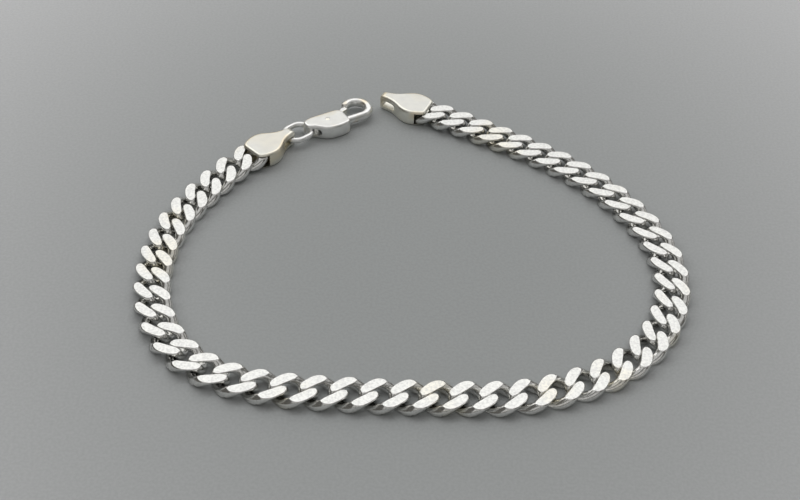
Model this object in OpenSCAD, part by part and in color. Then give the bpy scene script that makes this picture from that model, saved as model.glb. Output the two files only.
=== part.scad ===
// Link bracelet: a flat-cut curb chain that lies open in a loop, an end cap on each end,
// and a lobster clasp on a jump ring. Lengths are in millimetres and angles in degrees.
// X runs to the right, Y away from the front of the loop, Z up from the surface it lies on.

/* [Chain] */
// Number of links in the chain
links = 50; // [46:2:54]
// Mean distance from one link to the next
pitch = 3.55; // [3.52:0.01:3.58]
// Diameter of the links' wire where two links cross
wire_d = 1.2; // [1.1:0.01:1.2]
// How much the wire's radius grows towards a link's long sides
swell = 0.13; // [0.1:0.01:0.14]
// Outside length of one link
link_l = 6.4; // [6.36:0.01:6.44]
// Outside width of one link
link_w = 5.16; // [5.14:0.01:5.22]
// Angle by which each half of a link is twisted
link_twist = 55; // [54:0.5:57]
// Thickness of the chain between its flat cuts
chain_t = 1.56; // [1.56:0.01:1.6]

/* [End caps] */
// Length of a cap from its mouth to its tip
cap_l = 8.1; // [8.1:0.1:8.6]
// Greatest width of a cap
cap_w = 5.4; // [5.2:0.1:5.6]
// Thickness of a cap
cap_t = 2.5; // [2.5:0.05:2.8]
// Radius of a cap's rounded rims
cap_rim = 0.45; // [0.3:0.05:0.5]
// Length of the eye's slot along the cap
eye_l = 2.5; // [2.3:0.1:2.6]
// Height of the eye's slot
eye_h = 1.1; // [1.05:0.05:1.2]
// How far inside the mouth the end link's middle lies
hold = 0.3; // [0.25:0.05:0.45]
// Diameter of the hidden post that keeps the end link
post_d = 1.0; // [0.9:0.05:1.0]

/* [Jump ring] */
// Outside length of the ring
ring_l = 5.2; // [5.1:0.1:5.4]
// Outside width of the ring
ring_w = 4.4; // [4.3:0.1:4.6]
// Diameter of the ring's wire
ring_wire = 0.75; // [0.65:0.05:0.75]

/* [Clasp] */
// Length of the clasp from its eye's end to its hook's end
clasp_l = 12.1; // [12:0.1:12.6]
// Thickness of the clasp's body
clasp_t = 2.3; // [2.3:0.05:2.5]
// Diameter of the hook's rod
hook_d = 1.3; // [1.2:0.02:1.3]
// Radius of the hook's middle line
hook_r = 1.95; // [1.93:0.01:1.98]
// Thickness of the lever
lever_t = 1.05; // [0.9:0.05:1.05]
// Height of the slot the lever turns in
slot_h = 1.3; // [1.25:0.05:1.35]
// Height of the eye through the clasp's end
clasp_eye_h = 1.2; // [1.15:0.05:1.25]
// Diameter of the lever's pin
pin_d = 0.7; // [0.6:0.05:0.7]

/* [Hidden] */
// How far the links lie pulled apart: share of the links, then the spacing there in pitches
play = [[0, 1.02], [0.04, 0.96], [0.15, 0.96], [0.2, 1], [0.26, 1.05], [0.4, 1.05], [0.45, 1.02],
        [0.5, 1.05], [0.6, 1.03], [0.66, 1], [0.82, 0.985], [0.9, 0.94], [1, 0.93]];
// The loop's route: share of the chain's length, then the heading there
route = [[0, -130], [0.02, -123], [0.06, -118], [0.18, -79], [0.22, -61], [0.28, -25], [0.32, -7],
         [0.35, -1], [0.48, 4], [0.58, 34], [0.77, 117], [0.88, 145], [0.94, 153], [1, 157]];
// Middle of the first link, in pitches from the middle of the loop
first = [-6.98, 4.35];
// Headings of the caps, the ring and the clasp
left_turn = 47;
right_turn = 159;
ring_turn = 45;
clasp_turn = 33;
// How the last links climb to the caps: links from the end, share of the climb
climb = [[0, 1], [1, 0.87], [2, 0.6], [3, 0.3], [4, 0.1], [5, 0.03], [6, 0]];

// Half the outline of a cap: share of its length from the mouth, share of its half width
cap_side = [[0, 0], [0, 0.3], [0.005, 0.55], [0.04, 0.73], [0.15, 0.91], [0.3, 1], [0.42, 0.96],
            [0.52, 0.83], [0.62, 0.63], [0.72, 0.46], [0.83, 0.36], [0.93, 0.31], [0.985, 0.26],
            [1, 0.14], [1, 0]];
// Outline of the clasp's body from the middle of its eye, in shares of the clasp's length
clasp_edge = [[-0.087, 0], [-0.078, -0.045], [-0.045, -0.074], [0.008, -0.095], [0.066, -0.145],
              [0.124, -0.19], [0.198, -0.215], [0.298, -0.223], [0.397, -0.215], [0.459, -0.19],
              [0.483, -0.132], [0.479, -0.025], [0.467, 0.05], [0.43, 0.095], [0.347, 0.107],
              [0.207, 0.107], [0.066, 0.107], [0.008, 0.099], [-0.045, 0.078], [-0.078, 0.045]];
// Outline of the lever, in the same shares
lever_edge = [[0.149, -0.033], [0.161, -0.079], [0.198, -0.103], [0.244, -0.103], [0.289, -0.066],
              [0.413, 0.021], [0.512, 0.079], [0.574, 0.099], [0.587, 0.12], [0.574, 0.149],
              [0.545, 0.161], [0.512, 0.149], [0.455, 0.112], [0.421, 0.112], [0.409, 0.14],
              [0.38, 0.153], [0.347, 0.145], [0.33, 0.107], [0.298, 0.066], [0.244, 0.033],
              [0.194, 0.033], [0.161, 0.008]];
// Outline of the lever's slot, in the same shares
slot_edge = [[0.124, -0.033], [0.134, -0.079], [0.165, -0.116], [0.207, -0.132], [0.256, -0.124],
             [0.347, -0.091], [0.43, -0.062], [0.62, -0.017], [0.62, 0.198], [0.124, 0.198]];
// The pin, and the middle of the hook, in the same shares
pin_at = [0.223, -0.033];
hook_at = [0.698, 0.0785];

// Points around a link's oval
stations = 16;
// Gap between the end link and the pocket that holds it
pocket_gap = 0.15;

half_l = (link_l - wire_d) / 2;
half_w = (link_w - wire_d) / 2 - swell;
half_t = chain_t / 2;
climb_h = (cap_t - chain_t) / 2;

function unit(v) = v / norm(v);
function gap(k) = lookup(k / (links - 2), play);
// Pitches walked from the first link to each of the others
walk = [for (k = 0, w = 0; k < links; w = w + gap(k), k = k + 1) w];
function heading(k) = lookup(walk[k] / walk[links - 2], route);
function dir(a) = [cos(a), sin(a)];

// Middles of the links along the route
spots = [for (k = 0, p = first * pitch; k < links; p = p + pitch * gap(k) * dir(heading(k)), k = k + 1) p];
function yaw(k) = k == 0 ? left_turn - 180 : k == links - 1 ? right_turn
    : (heading(k - 1) + heading(k)) / 2;
function lift(k) = climb_h * lookup(min(k, links - 1 - k), climb);
function tilt(k) = k == 0 || k == links - 1 ? 0 : atan((lift(k + 1) - lift(k - 1)) / (2 * pitch));

// A link's middle line is an oval twisted about its length, one way at each end
function middle(t) = let (b = link_twist * cos(t))
    [half_l * cos(t), half_w * sin(t) * cos(b), -half_w * sin(t) * sin(b)];
function along(t) = middle(t + 0.5) - middle(t - 0.5);
function wire_r(t) = wire_d / 2 + swell * pow(sin(t), 2);
// Its wire is six-sided, with the upper and lower sides brought down to the flat cuts
function section(t) =
    let (m = middle(t), d = unit(along(t)), n = unit(cross([0, 0, 1], d)), u = cross(d, n), r = wire_r(t),
         top = min(60, asin(min(1, (half_t - m[2]) / (r * u[2])))),
         low = min(60, asin(min(1, (half_t + m[2]) / (r * u[2])))))
    [for (s = [0, top, 180 - top, 180, 180 + low, 360 - low]) m + r * (cos(s) * n + sin(s) * u)];
link_points = [for (i = [0:stations - 1]) each section((i + 0.5) * 360 / stations)];
function place(p, k) =
    let (x = p[0] * cos(tilt(k)) - p[2] * sin(tilt(k)), z = p[0] * sin(tilt(k)) + p[2] * cos(tilt(k)),
         h = yaw(k), s = spots[k])
    [s[0] + x * cos(h) - p[1] * sin(h), s[1] + x * sin(h) + p[1] * cos(h), half_t + lift(k) + z];
function link_faces(base) =
    [for (i = [0:stations - 1]) for (j = [0:5])
        let (e = (i + 1) % stations, f = (j + 1) % 6,
             p = base + 6 * i + j, q = base + 6 * e + j, r = base + 6 * e + f, s = base + 6 * i + f)
        each [[p, q, r], [p, r, s]]];

// A smooth curve through points, n steps from one to the next
function between(a, b, c, d, t) =
    b + t * (c - a) / 2 + t * t * (a - 2.5 * b + 2 * c - d / 2) + t * t * t * (3 * b - a - 3 * c + d) / 2;
function open_curve(p, n) =
    [for (i = [0:len(p) - 2]) for (j = [0:n - 1])
        between(p[max(i - 1, 0)], p[i], p[i + 1], p[min(i + 2, len(p) - 1)], j / n)];
function closed_curve(p, n) =
    let (m = len(p))
    [for (i = [0:m - 1]) for (j = [0:n - 1])
        between(p[(i + m - 1) % m], p[i], p[(i + 1) % m], p[(i + 2) % m], j / n)];

// Half the cap's outline runs from the mouth to the tip, the other half mirrors it back
cap_half = [for (p = concat(open_curve(cap_side, 2), [[1, 0]])) [p[0] * cap_l, -p[1] * cap_w / 2]];
cap_outline = concat(cap_half, [for (i = [len(cap_half) - 2:-1:1]) [cap_half[i][0], -cap_half[i][1]]]);
clasp_outline = closed_curve(clasp_edge * clasp_l, 2);

// Rounded rims: the outline drawn in by part of the rim's radius near the bottom and the top
rim_steps = [90, 50, 15];
function levels(t, rim) = concat([for (a = rim_steps) [rim * (1 - sin(a)), rim * (1 - cos(a))]],
    [for (i = [2:-1:0]) [t - rim * (1 - sin(rim_steps[i])), rim * (1 - cos(rim_steps[i]))]]);
function drawn_in(o, i, by, tip) =
    let (m = len(o), d = unit(o[(i + 1) % m] - o[(i + m - 1) % m]))
    [o[i][0] - by * d[1] * (tip > 0 ? 1 + 1.2 * max(0, o[i][0] / tip * 5 - 4) : 1), o[i][1] + by * d[0]];

// A closed skin over an outline, from the bottom to the top, with rounded rims
module skin(o, t, rim, tip) {
    m = len(o);
    l = levels(t, rim);
    polyhedron(
        points = [for (v = l) for (i = [0:m - 1]) let (p = drawn_in(o, i, v[1], tip)) [p[0], p[1], v[0]]],
        faces = concat([[for (i = [0:m - 1]) i]], [[for (i = [m - 1:-1:0]) (len(l) - 1) * m + i]],
            [for (v = [0:len(l) - 2]) for (i = [0:m - 1])
                let (a = v * m + i, b = v * m + (i + 1) % m, c = b + m, d = a + m)
                each [[a, d, c], [a, c, b]]]));
}

// A round-ended slot across the Y direction, from x1 to x2 at height z
module cross_slot(x1, x2, z, h, w) {
    for (x = [x1 + h / 2, x2 - h / 2])
        translate([x, 0, z]) rotate([90, 0, 0]) cylinder(d = h, h = w, center = true);
    translate([x1 + h / 2, -w / 2, z - h / 2]) cube([x2 - x1 - h, w, h]);
}

module chain(from, to) {
    n = 6 * stations;
    color([0.86, 0.86, 0.85])
        polyhedron(points = [for (k = [from:to]) for (p = link_points) place(p, k)],
                   faces = [for (k = [0:to - from]) each link_faces(k * n)]);
}

// A cap lies with its mouth at x = 0 and its tip at x = cap_l
module cap() {
    z1 = cap_t / 2 - half_t - pocket_gap;
    pocket_h = chain_t + 2 * pocket_gap;
    wall = 0.4;
    difference() {
        skin(cap_outline, cap_t, cap_rim, cap_l);
        translate([hold, 0, z1]) linear_extrude(height = pocket_h)
            polygon([for (a = [0:10:350])
                [(link_l / 2 + pocket_gap) * cos(a), (link_w / 2 + pocket_gap) * sin(a)]]);
        cross_slot(cap_l - wall - eye_l, cap_l - wall, cap_t / 2, eye_h, cap_w);
    }
    translate([hold + half_l - wire_r(0) - 0.13 - post_d / 2, 0, z1 - 0.2])
        cylinder(d = post_d, h = pocket_h + 0.4);
}

module at_cap(k, turn) {
    s = spots[k] - hold * dir(turn);
    translate([s[0], s[1], 0]) rotate([0, 0, turn]) children();
}

// The ring's near end lies in the left cap's eye, just inside the eye's rounded end, and its far
// end in the clasp's eye, each crossing its eye squarely
ring_half = (ring_l - ring_wire) / 2;
ring_side = (ring_w - ring_wire) / 2;
ring_run = ring_half - ring_side;
ring_z = 1.2;
eye_at = spots[0] + (cap_l - hold - 1.4 * ring_wire) * dir(left_turn);
ring_at = eye_at + ring_side * dir(left_turn) + ring_run * dir(ring_turn);
clasp_at = ring_at + ring_run * dir(ring_turn) + ring_side * dir(clasp_turn);

module chain_left() { chain(0, links / 2 - 1); }
module chain_right() { chain(links / 2, links - 1); }
module cap_ring_end() { color([0.9, 0.9, 0.88]) at_cap(0, left_turn) cap(); }
module cap_catch_end() { color([0.9, 0.9, 0.88]) at_cap(links - 1, right_turn) cap(); }

module jump_ring() {
    color([0.82, 0.83, 0.84]) translate([ring_at[0], ring_at[1], ring_z]) rotate([0, 0, ring_turn]) {
        for (s = [0, 1]) rotate([0, 0, 180 * s]) {
            translate([ring_run, 0, 0]) rotate([0, 0, -90]) rotate_extrude(angle = 180, $fn = 48)
                translate([ring_side, 0]) circle(d = ring_wire, $fn = 24);
            translate([-ring_run, -ring_side, 0]) rotate([0, 90, 0])
                cylinder(d = ring_wire, h = 2 * ring_run, $fn = 24);
        }
    }
}

module in_clasp() {
    translate([clasp_at[0], clasp_at[1], 0]) rotate([0, 0, clasp_turn]) children();
}

module clasp_body() {
    color([0.85, 0.85, 0.84]) in_clasp() {
        difference() {
            skin(clasp_outline, clasp_t, 0.4, 0);
            cross_slot(-0.051 * clasp_l, 0.095 * clasp_l, clasp_t / 2, clasp_eye_h, 0.66 * clasp_l);
            translate([0, 0, clasp_t / 2 - slot_h / 2]) linear_extrude(height = slot_h)
                polygon(slot_edge * clasp_l);
            translate([pin_at[0] * clasp_l, pin_at[1] * clasp_l, -1]) cylinder(d = pin_d + 0.03, h = clasp_t + 2);
        }
        translate([hook_at[0] * clasp_l, hook_at[1] * clasp_l, clasp_t / 2]) {
            rotate([0, 0, -90]) rotate_extrude(angle = 212, $fn = 48)
                translate([hook_r, 0]) circle(d = hook_d, $fn = 24);
            translate(hook_r * [cos(122), sin(122), 0]) sphere(d = hook_d + 0.1, $fn = 32);
            translate([-3, -hook_r, 0]) rotate([0, 90, 0]) cylinder(d = hook_d, h = 3, $fn = 24);
        }
    }
}

module clasp_lever() {
    color([0.8, 0.8, 0.8]) in_clasp() translate([0, 0, clasp_t / 2 - lever_t / 2])
        difference() {
            linear_extrude(height = lever_t) polygon(lever_edge * clasp_l);
            translate([pin_at[0] * clasp_l, pin_at[1] * clasp_l, -1]) cylinder(d = pin_d + 0.1, h = lever_t + 2);
        }
}

module clasp_pin() {
    color([0.75, 0.75, 0.76]) in_clasp()
        translate([pin_at[0] * clasp_l, pin_at[1] * clasp_l, 0.05]) cylinder(d = pin_d, h = clasp_t - 0.1);
}

chain_left();
chain_right();
cap_ring_end();
cap_catch_end();
jump_ring();
clasp_body();
clasp_lever();
clasp_pin();
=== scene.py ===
import math
import bmesh
import bpy
import numpy as np
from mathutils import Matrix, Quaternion, Vector


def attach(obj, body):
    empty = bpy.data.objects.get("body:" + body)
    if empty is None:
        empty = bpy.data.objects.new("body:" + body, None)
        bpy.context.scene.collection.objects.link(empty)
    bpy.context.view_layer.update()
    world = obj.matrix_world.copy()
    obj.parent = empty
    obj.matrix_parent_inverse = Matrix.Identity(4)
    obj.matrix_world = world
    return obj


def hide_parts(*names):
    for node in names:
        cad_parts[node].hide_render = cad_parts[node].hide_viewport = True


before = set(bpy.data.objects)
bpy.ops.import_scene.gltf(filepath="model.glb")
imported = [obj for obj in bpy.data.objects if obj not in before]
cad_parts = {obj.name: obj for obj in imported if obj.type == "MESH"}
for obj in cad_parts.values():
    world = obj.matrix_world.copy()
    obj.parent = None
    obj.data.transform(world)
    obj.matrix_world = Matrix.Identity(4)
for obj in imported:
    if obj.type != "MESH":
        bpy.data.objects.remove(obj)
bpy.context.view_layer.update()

mm = 0.001
print("frame loaded:", ", ".join(sorted(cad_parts)))

# How the whole bracelet lies; these repeat the source's named sizes. By the share of the length, play says
# how far apart the links sit and route which way they head, in degrees. Climb says, by the links counted from
# a cap, how much of the full lift they have.
lay = {
    "links": 50,
    "pitch": 3.55,
    "play": [[0, 1.02], [0.04, 0.96], [0.15, 0.96], [0.2, 1], [0.26, 1.05], [0.4, 1.05], [0.45, 1.02],
             [0.5, 1.05], [0.6, 1.03], [0.66, 1], [0.82, 0.985], [0.9, 0.94], [1, 0.93]],
    "route": [[0, -130], [0.02, -123], [0.06, -118], [0.18, -79], [0.22, -61], [0.28, -25], [0.32, -7],
              [0.35, -1], [0.48, 4], [0.58, 34], [0.77, 117], [0.88, 145], [0.94, 153], [1, 157]],
    "first": [-6.98, 4.35],
    "leftTurn": 47,
    "rightTurn": 159,
    "ringTurn": 45,
    "claspTurn": 33,
    "climb": [[0, 1], [1, 0.87], [2, 0.6], [3, 0.3], [4, 0.1], [5, 0.03], [6, 0]],
}


# Unit vectors at headings in degrees
def towards(turn):
    a = np.radians(turn)
    return np.stack([np.cos(a), np.sin(a)], -1)


# Middles of the links: the running sum of the spacing times the route's heading at each step,
# where the heading goes by the share of the length walked so far
def linkMiddles():
    play, route = np.array(lay["play"], float), np.array(lay["route"], float)
    last = lay["links"] - 2
    gap = np.interp(np.arange(last + 1) / last, play[:, 0], play[:, 1])
    walked = np.cumsum(gap) - gap
    heading = np.interp(walked / walked[-1], route[:, 0], route[:, 1])
    start = np.array(lay["first"]) * lay["pitch"]
    walk = np.vstack([[0, 0], np.cumsum(lay["pitch"] * gap[:, None] * towards(heading), 0)])
    turn = np.concatenate([[lay["leftTurn"] - 180], (heading[:-1] + heading[1:]) / 2, [lay["rightTurn"]]])
    return start + walk, turn


linkSpots, linkTurns = linkMiddles()


# Rules for the pieces' meshes, in millimetres where no other unit is given
meshRules = {
    "mergeWithin": 1e-7,  # points closer than this, in metres, become one
    "sharpAngle": 28,     # edges sharper than this many degrees stay crisp
    "levelFrom": 0.995,   # a face counts as level if its normal's Z is past this, up or down
    "cutWithin": 0.01,    # and as cut if it lies this close to the cut's height
    "tipExtra": 1.2,      # how much more a rim is drawn in at the end of a narrow tip
    "under": -1,          # cutting shapes start under a piece and end past it
    "past": 4,
    "rimSteps": 6,        # steps of the smooth curve from one outline point to the next
}


# Puts points in millimetres and lists of faces into a new object's mesh
def newPiece(name, points, faces):
    mesh = bpy.data.meshes.new(name)
    points = np.asarray(points, float).reshape(-1, 3) * mm
    mesh.vertices.add(len(points))
    mesh.vertices.foreach_set("co", points.ravel())
    sizes = np.array([len(f) for f in faces])
    mesh.loops.add(int(sizes.sum()))
    mesh.loops.foreach_set("vertex_index", np.concatenate([np.asarray(f, int) for f in faces]))
    mesh.polygons.add(len(sizes))
    mesh.polygons.foreach_set("loop_start", np.concatenate([[0], np.cumsum(sizes)[:-1]]))
    mesh.update(calc_edges=True)
    piece = bpy.data.objects.new(name, mesh)
    bpy.context.scene.collection.objects.link(piece)
    return piece


# Four-cornered faces over a grid of rows and columns; either way may close on itself
def gridFaces(rows, cols, closeRows, closeCols):
    i = np.arange(rows if closeRows else rows - 1)[:, None]
    j = np.arange(cols if closeCols else cols - 1)[None, :]
    e, f = (i + 1) % rows, (j + 1) % cols
    quads = np.stack([i * cols + j, e * cols + j, e * cols + f, i * cols + f], -1)
    return quads.reshape(-1, 4)


# Smooth curve through points: from b to c it is the cubic that leaves b along c - a and meets c along d - b
def smoothCurve(points, steps, closed):
    p = np.asarray(points, float)
    if closed:
        a, b, c, d = np.roll(p, 1, 0), p, np.roll(p, -1, 0), np.roll(p, -2, 0)
    else:
        q = np.concatenate([p[:1], p, p[-1:]])
        a, b, c, d = q[:-3], q[1:-2], q[2:-1], q[3:]
    t = (np.arange(steps) / steps).reshape([1, -1] + [1] * (p.ndim - 1))
    a, b, c, d = (v[:, None] for v in (a, b, c, d))
    curve = b + t * (c - a) / 2 + t**2 * (a - 2.5 * b + 2 * c - d / 2) + t**3 * (3 * b - a - 3 * c + d) / 2
    return curve.reshape((-1,) + p.shape[1:])


# Skin over an outline: each level's outline is drawn in by rim * (1 - cos a) at the height rim * (1 - sin a),
# more so over the last fifth of a tip's length, and a smooth curve goes round every level
def skinSurface(outline, low, high, rim, steps, tip=0.0, levels=8):
    o = np.asarray(outline, float)
    run = np.roll(o, -1, 0) - np.roll(o, 1, 0)
    run /= np.linalg.norm(run, axis=1)[:, None]
    a = np.radians(np.linspace(90, 0, levels))
    if rim == 0:
        a = np.zeros(1)
    inset = rim * (1 - np.cos(a))
    rise = rim * (1 - np.sin(a))
    inset = np.concatenate([inset, inset[::-1]])
    height = np.concatenate([low + rise, (high - rise)[::-1]])
    more = 1 + meshRules["tipExtra"] * np.maximum(0, o[:, 0] / tip * 5 - 4) if tip else np.ones(len(o))
    x = o[:, :1] - inset * run[:, 1:] * more[:, None]
    y = o[:, 1:] + inset * run[:, :1]
    rings = np.stack([x, y], -1)
    if steps > 1:
        rings = smoothCurve(rings, steps, True)
    rings = rings.transpose(1, 0, 2)
    count, around = rings.shape[:2]
    z = np.broadcast_to(height[:, None, None], (count, around, 1))
    points = np.concatenate([rings, z], -1).reshape(-1, 3)
    faces = list(gridFaces(count, around, False, True)[:, ::-1])
    faces = faces + [np.arange(around)[::-1], np.arange(around) + (count - 1) * around]
    return points, faces


# Turns points about Z and moves them, as the source places its parts
def placed(points, turn, at):
    p = np.asarray(points, float)
    c, s = math.cos(math.radians(turn)), math.sin(math.radians(turn))
    x = p[:, 0] * c - p[:, 1] * s + at[0]
    y = p[:, 0] * s + p[:, 1] * c + at[1]
    return np.stack([x, y, p[:, 2] + at[2]], -1)


# Tube along a path that lies level: each section is an oval, wide * cos s across and tall * sin s up
def tubeSurface(path, across, wide, tall, around=40):
    s = np.linspace(0, 2 * np.pi, around, endpoint=False)[None, :]
    x = path[:, :1] + wide[:, None] * np.cos(s) * across[:, :1]
    y = path[:, 1:2] + wide[:, None] * np.cos(s) * across[:, 1:2]
    z = path[:, 2:3] + tall[:, None] * np.sin(s)
    points = np.stack([x, y, z], -1).reshape(-1, 3)
    faces = list(gridFaces(len(path), around, False, True))
    return points, faces + [np.arange(around)[::-1], np.arange(around) + (len(path) - 1) * around]


# Merges doubled points, turns every face outwards, and smooths all but the sharp edges
def tidyPiece(piece):
    bm = bmesh.new()
    bm.from_mesh(piece.data)
    bmesh.ops.remove_doubles(bm, verts=bm.verts, dist=meshRules["mergeWithin"])
    bmesh.ops.recalc_face_normals(bm, faces=bm.faces)
    bm.to_mesh(piece.data)
    bm.free()
    piece.data.shade_smooth()
    piece.data.set_sharp_from_angle(angle=math.radians(meshRules["sharpAngle"]))


# Cuts closed shapes out of a piece, or joins them to it
def carve(piece, shapes, operation="DIFFERENCE"):
    for shape in shapes:
        cut = piece.modifiers.new("carve", "BOOLEAN")
        cut.operation = operation
        cut.solver = "EXACT"
        cut.object = shape
    bpy.context.view_layer.update()
    done = bpy.data.meshes.new_from_object(piece.evaluated_get(bpy.context.evaluated_depsgraph_get()))
    piece.modifiers.clear()
    piece.data = done
    done.name = piece.name
    for shape in shapes:
        bpy.data.objects.remove(shape)


# Marks level faces at the given heights as flat-cut, and keeps a crisp edge round them
def markFlats(piece, heights):
    mesh = piece.data
    count = len(mesh.polygons)
    normals, centres = np.zeros(count * 3), np.zeros(count * 3)
    mesh.polygons.foreach_get("normal", normals)
    mesh.polygons.foreach_get("center", centres)
    level = np.abs(normals.reshape(-1, 3)[:, 2]) > meshRules["levelFrom"]
    z = centres.reshape(-1, 3)[:, 2] / mm
    apart = np.min(np.abs(z[:, None] - np.array(heights)[None, :]), 1)
    flat = level & (apart < meshRules["cutWithin"])
    writeFlats(mesh, flat.astype(float))
    crispRims(mesh, flat)


# Keeps a crisp edge wherever a flat cut meets the polished skin
def crispRims(mesh, flat):
    bm = bmesh.new()
    bm.from_mesh(mesh)
    bm.faces.ensure_lookup_table()
    for edge in bm.edges:
        sides = [flat[face.index] for face in edge.link_faces]
        if len(sides) == 2 and sides[0] != sides[1]:
            edge.smooth = False
    bm.to_mesh(mesh)
    bm.free()


# Stores for every face whether it is flat-cut
def writeFlats(mesh, values):
    layer = mesh.attributes.get("flatCut") or mesh.attributes.new("flatCut", "FLOAT", "FACE")
    layer.data.foreach_set("value", np.asarray(values, np.float32))


# A socket of a material, with sums, differences and products that add Math nodes
class Shade:
    def __init__(self, tree, socket=None):
        self.tree = tree
        self.socket = socket

    # Any node: its type, its settings, then values or links for its sockets by name or number
    def node(self, kind, settings=None, sockets=None, out=0):
        new = self.tree.nodes.new(kind)
        for key, value in (settings or {}).items():
            setattr(new, key, value)
        for key, value in (sockets or {}).items():
            if isinstance(value, Shade):
                self.tree.links.new(value.socket, new.inputs[key])
            else:
                new.inputs[key].default_value = value
        return Shade(self.tree, new.outputs[out] if len(new.outputs) else None)

    def math(self, operation, a, b=0.0):
        return self.node("ShaderNodeMath", {"operation": operation}, {0: a, 1: b})

    def __add__(self, other):
        return self.math("ADD", self, other)

    def __sub__(self, other):
        return self.math("SUBTRACT", self, other)

    def __rsub__(self, other):
        return self.math("SUBTRACT", other, self)

    def __mul__(self, other):
        return self.math("MULTIPLY", self, other)

    __radd__ = __add__
    __rmul__ = __mul__

    # A cloudy noise, with its scale per metre
    def cloud(self, place, scale, detail, rough=0.5):
        return self.node("ShaderNodeTexNoise", None,
                         {"Vector": place, "Scale": scale, "Detail": detail, "Roughness": rough})

    # Eases from 0 at low to 1 at high
    def eased(self, low, high):
        return self.node("ShaderNodeMapRange", {"interpolation_type": "SMOOTHSTEP"},
                         {"Value": self, "From Min": low, "From Max": high})

    # One colour where this is 0, the other where it is 1; the sockets 6, 7 and out 2 are the colour ones
    def between(self, zero, one):
        return self.node("ShaderNodeMix", {"data_type": "RGBA"}, {0: self, 6: zero, 7: one}, out=2)


# A new material without nodes, and a Shade to start from
def newMaterial(name):
    material = bpy.data.materials.new(name)
    material.use_nodes = True
    material.node_tree.nodes.clear()
    return material, Shade(material.node_tree)


# Silver: flat cuts frosted by a fine grain, all else polished; dulled in small spots and warm in patches
def silverFinish(name, look):
    material, start = newMaterial(name)
    place = start.node("ShaderNodeTexCoord", out=3)  # the piece's own coordinates
    flat = start.node("ShaderNodeAttribute", {"attribute_name": "flatCut"}, out=2)  # as a number
    grain = start.cloud(place, look["grain"], 3.0, 0.6)
    mottle = start.cloud(place, look["mottle"], 2.0)
    tint = start.cloud(place, look["patch"], 1.0, 0.4).eased(*look["warmEase"])
    cut = tint.between((*look["cutColour"], 1), (*look["cutWarm"], 1))
    bright = tint.between((*look["brightColour"], 1), (*look["brightWarm"], 1))
    dull = mottle.eased(*look["dullEase"]) * look["dulling"]
    shown = dull.between(flat.between(bright, cut), (*look["dullColour"], 1))
    rough = look["brightRough"] + flat * (look["cutRough"] - look["brightRough"])
    rough = rough + (mottle - 0.5) * look["roughSpread"]
    height = grain * (flat * look["cutDepth"] + look["brightDepth"])
    bump = start.node("ShaderNodeBump", None, {"Strength": 1.0, "Distance": 1.0, "Height": height})
    skin = start.node("ShaderNodeBsdfPrincipled", None,
                      {"Base Color": shown, "Metallic": 1.0, "Roughness": rough, "Normal": bump})
    start.node("ShaderNodeOutputMaterial", None, {"Surface": skin})
    return material


# Gives a piece its finish and its body, and hides the node that it stands for
def finished(piece, material, body, node):
    piece.data.materials.clear()
    piece.data.materials.append(material)
    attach(piece, body)
    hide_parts(node)
    print("made", piece.name, "with", len(piece.data.polygons), "faces")


chainSizes = {
    "wire": 0.6,          # radius where two links cross
    "swellOut": 0.13,     # how much wider and taller it is at the link's sides
    "swellUp": 0.15,
    "halfLength": 2.6,    # of the wire's middle line
    "halfWidth": 1.85,
    "twist": 55,
    "halfThickness": 0.78,
    "climbHeight": 0.47,  # how far the end links are lifted
    "fill": 0.15,         # how much fuller the wire is on the hole's side where it is cut
    "edgeBreak": 0.08,    # the narrow bright edge round each flat cut
    "breakShare": 0.3,    # and the most of a small cut that it takes
    "steepest": 88,       # a cut is never higher than this many degrees up a section
    "cutUntil": 86,       # and below this it is wide enough to count as cut
    "stations": 128,      # sections round a link
    "roundSteps": 9,      # points up each side of a section, and across each cut
    "flatSteps": 5,
}
# Grain, mottle and patch are how fine their noises are, per metre; the depths are in metres
chainLook = {
    "cutColour": (0.88, 0.88, 0.85), "cutWarm": (0.91, 0.885, 0.8), "cutRough": 0.36,
    "brightColour": (0.88, 0.875, 0.85), "brightWarm": (0.87, 0.84, 0.75), "brightRough": 0.17,
    "dullColour": (0.62, 0.62, 0.61), "dulling": 0.6, "roughSpread": 0.2,
    "warmEase": (0.52, 0.66), "dullEase": (0.35, 0.7),
    "grain": 5200.0, "mottle": 3400.0, "patch": 140.0, "cutDepth": 0.000016, "brightDepth": 0.000003,
}


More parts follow.
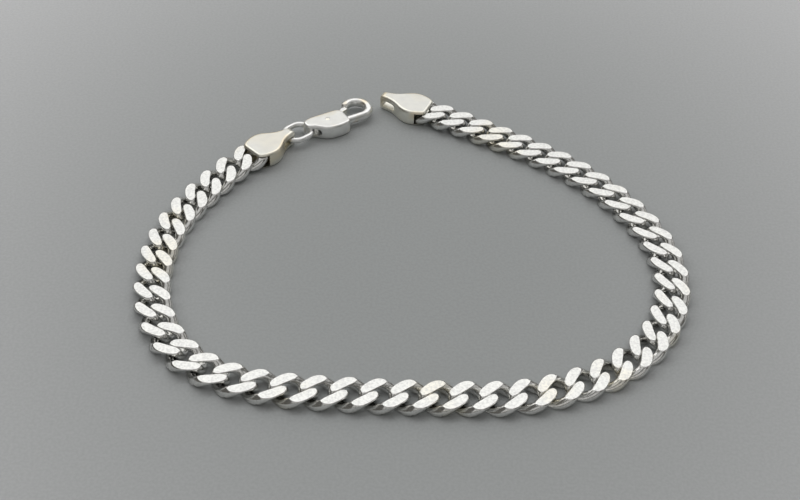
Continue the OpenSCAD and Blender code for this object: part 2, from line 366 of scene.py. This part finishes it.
# One link: an oval twisted about its length, so y and z are the oval's width turned by twist * cos t,
# carries an oval section that grows from wire by the swell times the sine of t squared,
# and on the hole's side by fill times the sine of 2 t squared,
# and the section's top and bottom are brought down to the flat cuts with a broken edge
def linkSurface(size):
    cut, long, wide = size["halfThickness"], size["halfLength"], size["halfWidth"]
    t = (np.arange(size["stations"]) + 0.5) * 2 * np.pi / size["stations"]
    turn = math.radians(size["twist"])
    s, c = np.sin(t), np.cos(t)
    leanS, leanC = np.sin(turn * c), np.cos(turn * c)
    m = np.stack([long * c, wide * s * leanC, -wide * s * leanS], -1)
    d = np.stack([-long * s, wide * (c * leanC + turn * s ** 2 * leanS),
                  wide * (turn * s ** 2 * leanC - c * leanS)], -1)
    d /= np.linalg.norm(d, axis=1)[:, None]
    n = np.cross(np.array([0.0, 0.0, 1.0]), d)
    n /= np.linalg.norm(n, axis=1)[:, None]
    u = np.cross(d, n)
    r = size["wire"] + size["swellOut"] * s[:, None] ** 2
    v = size["wire"] + size["swellUp"] * s[:, None] ** 2
    most = math.sin(math.radians(size["steepest"]))
    top = np.arcsin(np.clip((cut - m[:, 2:]) / (v * u[:, 2:]), -1, most))
    low = np.arcsin(np.clip((cut + m[:, 2:]) / (v * u[:, 2:]), -1, most))
    edge, part = size["edgeBreak"], size["breakShare"]
    breakTop = np.minimum(edge / r, part * (np.pi / 2 - top))
    breakLow = np.minimum(edge / r, part * (np.pi / 2 - low))
    step = np.linspace(0, 1, size["roundSteps"])[None, :]
    rise = -low + breakLow + step * (top - breakTop + low - breakLow)
    fall = np.pi - rise[:, ::-1]
    share = np.linspace(1, -1, size["flatSteps"])[None, :]
    topWide = r * np.cos(top) - np.minimum(edge, part * r * np.cos(top))
    lowWide = r * np.cos(low) - np.minimum(edge, part * r * np.cos(low))
    ones = np.ones_like(share)
    side = np.concatenate([r * np.cos(rise), topWide * share, r * np.cos(fall), -lowWide * share], 1)
    up = np.concatenate([v * np.sin(rise), v * np.sin(top) * ones,
                         v * np.sin(fall), -v * np.sin(low) * ones], 1)
    side += np.maximum(side, 0) / r * size["fill"] * np.sin(2 * t)[:, None] ** 2
    points = m[:, None] + side[..., None] * n[:, None] + up[..., None] * u[:, None]
    cuts = np.zeros((size["stations"], side.shape[1]))
    a, b, limit = size["roundSteps"], size["flatSteps"], math.radians(size["cutUntil"])
    cuts[:, a:a + b - 1] = top < limit
    cuts[:, 2 * a + b:2 * a + 2 * b - 1] = low < limit
    return points, cuts


# A run of links: each turned to its place on the route, tilted and lifted where it climbs to a cap
def chainRun(name, start, stop):
    points, cuts = linkSurface(chainSizes)
    rows, cols = cuts.shape
    climb = np.array(lay["climb"], float)
    every = np.arange(lay["links"])
    lift = chainSizes["climbHeight"] * np.interp(np.minimum(every, every[::-1]), climb[:, 0], climb[:, 1])
    tilt = np.zeros(lay["links"])
    tilt[1:-1] = np.arctan((lift[2:] - lift[:-2]) / (2 * lay["pitch"]))
    k = every[start:stop]
    h, w = np.radians(linkTurns[k])[:, None], tilt[k][:, None]
    p = points.reshape(1, -1, 3)
    x = p[..., 0] * np.cos(w) - p[..., 2] * np.sin(w)
    z = p[..., 0] * np.sin(w) + p[..., 2] * np.cos(w) + chainSizes["halfThickness"] + lift[k][:, None]
    spots = linkSpots[k]
    where = np.stack([spots[:, :1] + x * np.cos(h) - p[..., 1] * np.sin(h),
                      spots[:, 1:] + x * np.sin(h) + p[..., 1] * np.cos(h), z], -1)
    faces = gridFaces(rows, cols, True, True)[None] + (np.arange(len(k)) * rows * cols)[:, None, None]
    piece = newPiece(name, where, faces.reshape(-1, 4))
    flat = np.tile(cuts.ravel(), len(k))
    writeFlats(piece.data, flat)
    piece.data.shade_smooth()
    crispRims(piece.data, flat)
    return piece


chainSilver = silverFinish("chainSilver", chainLook)
halfway = lay["links"] // 2
finished(chainRun("chainLeft", 0, halfway), chainSilver, "bracelet", "chain_left")
finished(chainRun("chainRight", halfway, lay["links"]), chainSilver, "bracelet", "chain_right")

# The side is half the outline, as shares of the length and of half the width
capSizes = {
    "length": 8.1,
    "width": 5.4,
    "thick": 2.5,
    "rim": 0.45,
    "side": [[0, 0], [0, 0.3], [0.005, 0.55], [0.04, 0.73], [0.15, 0.91], [0.3, 1], [0.42, 0.96],
             [0.52, 0.83], [0.62, 0.63], [0.72, 0.46], [0.83, 0.36], [0.93, 0.31], [0.985, 0.26],
             [1, 0.14], [1, 0]],
    "hold": 0.3,              # how far inside the mouth the end link's middle lies
    "pocket": [3.35, 2.73],   # half length and half width of the oval hollow
    "pocketHeight": 1.86,
    "eye": [5.2, 7.7],        # from and to, along the cap
    "eyeHeight": 1.1,
    "post": [1.67, 0.5],      # where along the cap, and its radius
    "postRoot": 0.1,          # how far its ends go into the cap
    "postSteps": 32,
}
capLook = dict(chainLook, cutColour=(0.77, 0.765, 0.72), cutWarm=(0.78, 0.755, 0.68), cutRough=0.42,
               brightColour=(0.93, 0.915, 0.82), brightWarm=(0.9, 0.81, 0.62), brightRough=0.32,
               grain=4200.0, mottle=900.0, patch=190.0, dulling=0.2, roughSpread=0.1,
               cutDepth=0.000006, brightDepth=0.000003)


# A round-ended slot's outline, as two half circles joined by straight runs
def slotOutline(x1, x2, height, steps=24):
    a = np.linspace(-np.pi / 2, np.pi / 2, steps)
    r = height / 2
    right = np.stack([x2 - r + r * np.cos(a), r * np.sin(a)], -1)
    return np.concatenate([right, right[::-1] * [-1, 1] + [x1 + x2, 0]])


# A closed prism over an outline, standing up, or lying across the piece with its outline in X and Z
def prism(outline, low, high, across=False, middle=0.0):
    points, faces = skinSurface(outline, low, high, rim=0, steps=1)
    if across:
        points = np.stack([points[:, 0], -points[:, 2], points[:, 1] + middle], -1)
    return points, faces


# An oval outline: cx + rx * cos a and cy + ry * sin a
def ringOutline(cx, cy, rx, ry, steps=96):
    a = np.linspace(0, 2 * np.pi, steps, endpoint=False)
    return np.stack([cx + rx * np.cos(a), cy + ry * np.sin(a)], -1)


# Makes a piece of points and faces, turned and moved to its place
def shapeAt(name, shape, turn, at):
    piece = newPiece(name, placed(shape[0], turn, at), shape[1])
    tidyPiece(piece)
    return piece


# Cap: the flask-shaped skin with its pocket, its cross slot and its hidden post
def endCap(name, spot, turn):
    c = capSizes
    half = smoothCurve(c["side"], steps=2, closed=False)
    half = np.concatenate([half, [c["side"][-1]]]) * [c["length"], -c["width"] / 2]
    outline = np.concatenate([half, half[-2:0:-1] * [1, -1]])
    at = (*(linkSpots[spot] - c["hold"] * towards(turn)), 0)
    skin = skinSurface(outline, 0, c["thick"], c["rim"], meshRules["rimSteps"], tip=c["length"])
    piece = shapeAt(name, skin, turn, at)
    low = (c["thick"] - c["pocketHeight"]) / 2
    pocket = prism(ringOutline(c["hold"], 0, *c["pocket"]), low, low + c["pocketHeight"])
    past = meshRules["past"]
    eye = prism(slotOutline(*c["eye"], c["eyeHeight"]), -past, past, True, c["thick"] / 2)
    along, radius = c["post"]
    root = c["postRoot"]
    post = prism(ringOutline(along, 0, radius, radius, c["postSteps"]), low - root, c["thick"] - low + root)
    carve(piece, [shapeAt("pocket", pocket, turn, at), shapeAt("eye", eye, turn, at)])
    carve(piece, [shapeAt("post", post, turn, at)], "UNION")
    tidyPiece(piece)
    markFlats(piece, [0, c["thick"]])
    return piece


capSilver = silverFinish("capSilver", capLook)
ringCap = endCap("capRingEnd", 0, lay["leftTurn"])
finished(ringCap, capSilver, "bracelet", "cap_ring_end")
catchCap = endCap("capCatchEnd", lay["links"] - 1, lay["rightTurn"])
finished(catchCap, capSilver, "bracelet", "cap_catch_end")

ringSizes = {
    "run": 0.4,        # half the straight part
    "bend": 1.825,     # radius of the round ends' middle line, as in the source
    "wire": 0.43,      # radius
    "drawIn": 0.055,   # keeps the fuller wire inside the source's ring
    "height": 1.2,     # of the wire's middle line
    "fromSpot": 6.75,  # the left cap's eye, from the first link's middle
    "around": 96,      # sections round the ring, and points round each
    "wireSteps": 32,
}
ringLook = dict(chainLook, brightColour=(0.94, 0.94, 0.925), brightWarm=(0.93, 0.92, 0.87), brightRough=0.3,
                mottle=800.0, dulling=0.2, brightDepth=0.000002)
# Where the left cap's eye, the ring's middle and the clasp's eye lie
eyeAt = linkSpots[0] + ringSizes["fromSpot"] * towards(lay["leftTurn"])
ringAt = eyeAt + ringSizes["bend"] * towards(lay["leftTurn"]) + ringSizes["run"] * towards(lay["ringTurn"])
claspAt = ringAt + ringSizes["run"] * towards(lay["ringTurn"]) + ringSizes["bend"] * towards(lay["claspTurn"])


# Ring: a round wire round a racetrack, whose middle is moved out by the straight run's half on each side
def jumpRing():
    c = ringSizes
    half, count = c["around"] // 2, c["around"] + 2
    a = np.linspace(-np.pi / 2, 3 * np.pi / 2, c["around"], endpoint=False)
    a = np.concatenate([a[:half + 1], a[half:], a[:1]])
    shift = np.where(np.arange(count) <= half, c["run"], -c["run"])
    out = np.stack([np.cos(a), np.sin(a), np.zeros(count)], -1)
    path = (c["bend"] - c["drawIn"]) * out + shift[:, None] * [1, 0, 0]
    s = np.linspace(0, 2 * np.pi, c["wireSteps"], endpoint=False)[None, :, None]
    points = path[:, None] + c["wire"] * (np.cos(s) * out[:, None] + np.sin(s) * [0, 0, 1])
    ring = (points.reshape(-1, 3), gridFaces(count, c["wireSteps"], True, True))
    return shapeAt("jumpRing", ring, lay["ringTurn"], (*ringAt, c["height"]))


ringSilver = silverFinish("ringSilver", ringLook)
finished(jumpRing(), ringSilver, "bracelet", "jump_ring")

# Edge, slot, eye, pin and hook are shares of the length
claspSizes = {
    "length": 12.1,
    "thick": 2.3,
    "rim": 0.4,
    "edge": [[-0.087, 0], [-0.078, -0.045], [-0.045, -0.074], [0.008, -0.095], [0.066, -0.145],
             [0.124, -0.19], [0.198, -0.215], [0.298, -0.223], [0.397, -0.215], [0.459, -0.19],
             [0.483, -0.132], [0.479, -0.025], [0.467, 0.05], [0.43, 0.095], [0.347, 0.107],
             [0.207, 0.107], [0.066, 0.107], [0.008, 0.099], [-0.045, 0.078], [-0.078, 0.045]],
    "slot": [[0.124, -0.033], [0.134, -0.079], [0.165, -0.116], [0.207, -0.132], [0.256, -0.124],
             [0.347, -0.091], [0.43, -0.062], [0.62, -0.017], [0.62, 0.198], [0.124, 0.198]],
    "slotHeight": 1.3,
    "eye": [-0.051, 0.078],
    "eyeHeight": 1.2,
    "pin": [0.223, -0.033],
    "pinRadius": 0.35,
    "pinHole": 0.365,           # the hole's radius in the body
    "pinSink": 0.01,            # how far its ends lie below the faces, and how much they are domed
    "pinDome": 0.03,
    "domeSteps": 9,
    "domeSweep": [3, 90],       # the part of a quarter circle that shapes its ends, in degrees
    "roundSteps": 48,
    "hook": [0.704, 0.09],
    "hookReach": [1.95, 1.9],   # half length and half width of the hook's middle line
    "hookRod": [0.63, 0.67],    # half width and half height of its rod
    "hookSweep": 216,
    "neck": 0.64,               # the rod's half width where it leaves the body
    "armLength": 3,
    "armSteps": 12,
    "arcSteps": 72,
    "tipSteps": 12,
    "tipSweep": [8, 89],        # the part of a quarter circle that rounds the tip, in degrees
    "easeFrom": 4,              # the step where the neck ends, and how many it takes to become the rod
    "easeOver": 14,
}
leverSizes = {
    "edge": [[0.149, -0.033], [0.161, -0.079], [0.198, -0.103], [0.244, -0.103], [0.289, -0.066],
             [0.413, 0.021], [0.512, 0.079], [0.574, 0.099], [0.587, 0.12], [0.574, 0.149],
             [0.545, 0.161], [0.512, 0.149], [0.455, 0.112], [0.421, 0.112], [0.409, 0.14],
             [0.38, 0.153], [0.347, 0.145], [0.33, 0.107], [0.298, 0.066], [0.244, 0.033],
             [0.194, 0.033], [0.161, 0.008]],
    "thick": 1.05,
    "rim": 0.15,
    "rimLevels": 4,
    "bore": 0.4,          # radius of its hole for the pin
}
claspLook = dict(capLook, cutColour=(0.79, 0.79, 0.76), brightColour=(0.93, 0.93, 0.91),
                 brightWarm=(0.88, 0.78, 0.6), brightRough=0.3, patch=310.0)
leverLook = dict(capLook, cutColour=(0.82, 0.82, 0.81), cutRough=0.3, brightRough=0.16)


# Hook: an arm, then part of an oval; the rod eases from the neck's half width to its own,
# and over the tip it shrinks by the cosine of the angle, as a quarter circle does
def hookSurface():
    c = claspSizes
    armSteps, tipSteps = c["armSteps"], c["tipSteps"]
    centre = np.array(c["hook"]) * c["length"]
    long, side = c["hookReach"]
    reach = np.linspace(-c["armLength"], 0, armSteps, endpoint=False)
    arm = np.stack([centre[0] + reach, np.full(armSteps, centre[1] - side)], -1)
    a = np.radians(-90 + np.linspace(0, c["hookSweep"], c["arcSteps"]))
    arc = centre + np.stack([long * np.cos(a), side * np.sin(a)], -1)
    out = np.stack([side * np.cos(a), long * np.sin(a)], -1)
    out /= np.linalg.norm(out, axis=1)[:, None]
    bow = np.radians(np.linspace(*c["tipSweep"], tipSteps))
    tip = arc[-1] + c["hookRod"][1] * np.sin(bow)[:, None] * [-out[-1, 1], out[-1, 0]]
    path = np.concatenate([arm, arc, tip])
    across = np.concatenate([np.tile([0.0, -1.0], (armSteps, 1)), out, np.tile(out[-1], (tipSteps, 1))])
    narrow = np.clip((np.arange(len(path)) - c["easeFrom"]) / c["easeOver"], 0, 1)
    ease = narrow * narrow * (3 - 2 * narrow)
    rod = np.tile(c["hookRod"], (len(path), 1))
    rod += (c["neck"] - rod) * (1 - ease)[:, None]
    rod[-tipSteps:] *= np.cos(bow)[:, None]
    path = np.concatenate([path, np.full((len(path), 1), c["thick"] / 2)], 1)
    return tubeSurface(path, across, rod[:, 0], rod[:, 1])


# A round hole at the pin, as wide as the radius given
def pinHole(radius):
    x, y = np.array(claspSizes["pin"]) * claspSizes["length"]
    outline = ringOutline(x, y, radius, radius, claspSizes["roundSteps"])
    return prism(outline, meshRules["under"], meshRules["past"])


# Body: the skin of its outline with the eye's slot, the lever's slot and the pin's hole, and the hook joined on
def claspBody():
    c = claspSizes
    size, middle, past = c["length"], c["thick"] / 2, meshRules["past"]
    at = (*claspAt, 0)
    turn = lay["claspTurn"]
    outline = smoothCurve(np.array(c["edge"]) * size, steps=2, closed=True)
    skin = skinSurface(outline, 0, c["thick"], c["rim"], meshRules["rimSteps"])
    piece = shapeAt("claspBody", skin, turn, at)
    eye = prism(slotOutline(c["eye"][0] * size, c["eye"][1] * size, c["eyeHeight"]), -past, past, True, middle)
    slot = prism(np.array(c["slot"]) * size, middle - c["slotHeight"] / 2, middle + c["slotHeight"] / 2)
    cuts = {"eye": eye, "slot": slot, "hole": pinHole(c["pinHole"])}
    carve(piece, [shapeAt(name, shape, turn, at) for name, shape in cuts.items()])
    carve(piece, [shapeAt("hook", hookSurface(), turn, at)], "UNION")
    tidyPiece(piece)
    markFlats(piece, [0, c["thick"]])
    return piece


# Lever: the skin of its outline between the slot's faces, with the bore for the pin
def claspLever():
    lever = leverSizes
    at = (*claspAt, 0)
    low = (claspSizes["thick"] - lever["thick"]) / 2
    high = low + lever["thick"]
    outline = np.array(lever["edge"]) * claspSizes["length"]
    skin = skinSurface(outline, low, high, lever["rim"], meshRules["rimSteps"], levels=lever["rimLevels"])
    piece = shapeAt("claspLever", skin, lay["claspTurn"], at)
    carve(piece, [shapeAt("bore", pinHole(lever["bore"]), lay["claspTurn"], at)])
    tidyPiece(piece)
    markFlats(piece, [low, high])
    return piece


# Pin: a rod filed almost flush; at its low domed ends the radius is pinRadius * sin a
# and the height changes by pinDome * (1 - cos a)
def claspPin():
    c = claspSizes
    a = np.radians(np.linspace(*c["domeSweep"], c["domeSteps"]))
    dome = c["pinRadius"] * np.sin(a)
    rise = c["pinDome"] * (1 - np.cos(a))
    radius = np.concatenate([dome, dome[::-1]])
    z = np.concatenate([c["pinSink"] + rise, c["thick"] - c["pinSink"] - rise[::-1]])
    rows, cols = len(radius), c["roundSteps"]
    s = np.linspace(0, 2 * np.pi, cols, endpoint=False)
    x = c["pin"][0] * c["length"] + radius[:, None] * np.cos(s)
    y = c["pin"][1] * c["length"] + radius[:, None] * np.sin(s)
    points = np.stack([x, y, np.broadcast_to(z[:, None], x.shape)], -1).reshape(-1, 3)
    ends = [np.arange(cols)[::-1], np.arange(cols) + (rows - 1) * cols]
    faces = list(gridFaces(rows, cols, False, True)[:, ::-1]) + ends
    return shapeAt("claspPin", (points, faces), lay["claspTurn"], (*claspAt, 0))


claspSilver = silverFinish("claspSilver", claspLook)
leverSilver = silverFinish("leverSilver", leverLook)
finished(claspBody(), claspSilver, "bracelet", "clasp_body")
finished(claspLever(), leverSilver, "lever", "clasp_lever")
finished(claspPin(), leverSilver, "bracelet", "clasp_pin")

tableSizes = {
    "half": 1.6,                  # half its side, in metres
    "grid": 40,
    # The two colours below paint a shadow on the table: the first is the shaded colour near the bracelet, the
    # second the unshaded one further off
    "near": (0.35, 0.364, 0.364),
    "far": (0.7, 0.7, 0.71),
    "stretch": (1, 0.77, 0),      # the pale part starts further off to the front and back
    "fade": (0.01, 0.14),         # from and to how far off it grows paler
    "speck": 2600.0,
    "speckEase": (0.3, 0.7),
    "speckShades": (0.96, 1.04),
    "rough": 0.75,
}


# Table: a level sheet, with a painted shadow that makes it darker near the bracelet and paler away from it
def tableTop():
    c = tableSizes
    line = np.linspace(-1, 1, c["grid"])
    x, y = np.meshgrid(line, line)
    points = np.stack([x, y, 0 * x], -1).reshape(-1, 3) * c["half"] / mm
    piece = newPiece("tableTop", points, gridFaces(c["grid"], c["grid"], False, False)[:, ::-1])
    tidyPiece(piece)
    material, start = newMaterial("tablePaper")
    place = start.node("ShaderNodeTexCoord", out=3)  # the sheet's own coordinates
    speck = start.cloud(place, c["speck"], 2.0)
    # How far off each point lies, eased, which fades the painted shadow out towards the pale colour
    away = start.node("ShaderNodeVectorMath", {"operation": "MULTIPLY"}, {0: place, 1: c["stretch"]})
    away = start.node("ShaderNodeVectorMath", {"operation": "LENGTH"}, {0: away}, out=1).eased(*c["fade"])
    shades = []
    for k in c["speckShades"]:
        near, far = ((*[v * k for v in c[name]], 1) for name in ("near", "far"))
        shades.append(away.between(near, far))
    shown = speck.eased(*c["speckEase"]).between(*shades)
    skin = start.node("ShaderNodeBsdfPrincipled", None, {"Base Color": shown, "Roughness": c["rough"]})
    start.node("ShaderNodeOutputMaterial", None, {"Surface": skin})
    piece.data.materials.append(material)
    print("table laid")


tableTop()

# Soft panels: where each hangs and how wide and tall it is, in metres, its power in watts,
# and whether the silver mirrors it
panels = {
    "backPanel": {"at": (-0.04, 0.46, 0.42), "size": (1.15, 0.62), "power": 2.2, "mirrored": True},
    "overPanel": {"at": (-0.05, 0.3, 0.72), "size": (0.8, 0.4), "power": 0.65, "mirrored": False},
    "topPanel": {"at": (0, 0.01, 0.8), "size": (1.2, 1.2), "power": 2.0, "mirrored": True},
    "leftPanel": {"at": (-0.6, 0.1, 0.42), "size": (0.5, 0.4), "power": 1.1, "mirrored": False},
    "frontPanel": {"at": (0.05, -0.62, 0.3), "size": (1.1, 0.4), "power": 0.5, "mirrored": True},
    "rightPanel": {"at": (0.62, 0.05, 0.3), "size": (0.6, 0.35), "power": 0.22, "mirrored": True},
}
for name, panel in panels.items():
    light = bpy.data.lights.new(name, "AREA")
    light.shape = "RECTANGLE"
    light.size, light.size_y = panel["size"]
    light.energy = panel["power"]
    holder = bpy.data.objects.new(name, light)
    holder.location = panel["at"]
    holder.visible_glossy = panel["mirrored"]
    holder.rotation_euler = (-Vector(panel["at"])).to_track_quat("-Z", "Y").to_euler()
    bpy.context.scene.collection.objects.link(holder)

# The dim room round it all
roomLight = {"Color": (1.0, 0.965, 0.89, 1), "Strength": 0.1}
room = bpy.data.worlds.new("room")
room.use_nodes = True
for socket, value in roomLight.items():
    room.node_tree.nodes["Background"].inputs[socket].default_value = value
bpy.context.scene.world = room
bpy.context.scene.view_settings.view_transform = "Standard"

# Where the camera stands, how far it looks down and rolls, in degrees, and its lens
shot = {
    "at": (-0.00217, -0.13964, 0.12353),
    "down": 41.9,
    "roll": 3.38,
    "lens": 59.94,
    "sensor": 36,
    "nearest": 0.005,
}
camera = bpy.data.objects.new("camera", bpy.data.cameras.new("camera"))
camera.data.lens = shot["lens"]
camera.data.sensor_width = shot["sensor"]
camera.data.clip_start = shot["nearest"]
camera.location = shot["at"]
camera.rotation_mode = "QUATERNION"
camera.rotation_quaternion = (Quaternion((1, 0, 0), math.radians(90 - shot["down"]))
                              @ Quaternion((0, 0, 1), math.radians(shot["roll"])))
bpy.context.scene.collection.objects.link(camera)
bpy.context.scene.camera = camera
print("lights and camera set")
